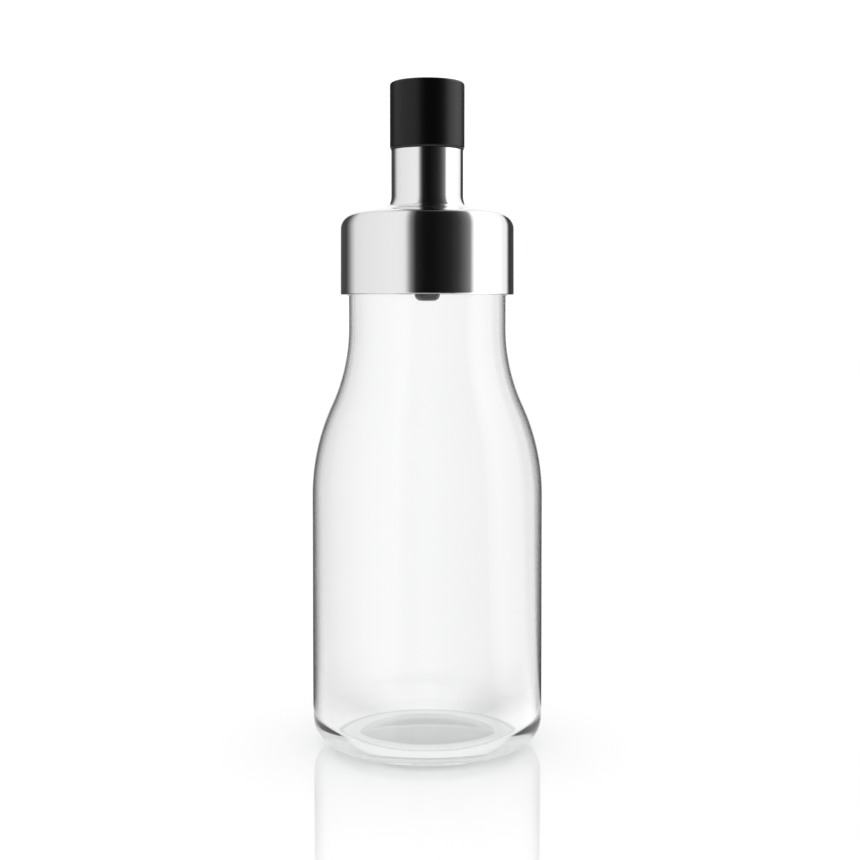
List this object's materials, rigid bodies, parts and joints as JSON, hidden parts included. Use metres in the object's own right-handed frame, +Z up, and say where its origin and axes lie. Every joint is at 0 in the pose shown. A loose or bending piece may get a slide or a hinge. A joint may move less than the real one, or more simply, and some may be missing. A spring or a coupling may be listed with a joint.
{
  "type": "dressing shaker",
  "caption": "Round glass bottle with a sloping shoulder, a drawn steel lid with a pouring spout, and a plain black stopper that lifts out of the spout.",
  "frame": {"origin": "centre of the ring that the bottle stands on, at the table", "axes": "+Z up along the bottle's axis; the shape is round, so +X and +Y are free, and the picture looks along +Y"},
  "size_m": [0.065, 0.065, 0.1861],
  "materials": {
    "clear_glass": "clear blown glass, polished",
    "stainless_steel": "stainless steel, polished",
    "cap_plastic": "satin black moulding",
    "insert_plastic": "black moulding",
    "tip_plastic": "glossy black moulding",
    "seal_silicone": "black silicone"
  },
  "bodies": {
    "bottle": {"glass_bottle": "clear_glass"},
    "lid": {"neck_seal": "seal_silicone", "pour_insert": "insert_plastic", "spout_liner": "insert_plastic", "inner_cap": "insert_plastic", "steel_shell": "stainless_steel", "spout_ring": "seal_silicone"},
    "stopper": {"stopper_cap": "cap_plastic", "cap_gasket": "seal_silicone", "stopper_core": "insert_plastic", "plug_rings": "seal_silicone", "stem": "stainless_steel", "stem_tip": "tip_plastic"}
  },
  "joints": [
    {"name": "lid_lift", "type": "slide", "parent": "bottle", "child": "lid", "axis": [0, 0, 1], "range_m": [0, 0.04]},
    {"name": "stopper_lift", "type": "slide", "parent": "lid", "child": "stopper", "axis": [0, 0, 1], "range_m": [0, 0.065]}
  ]
}
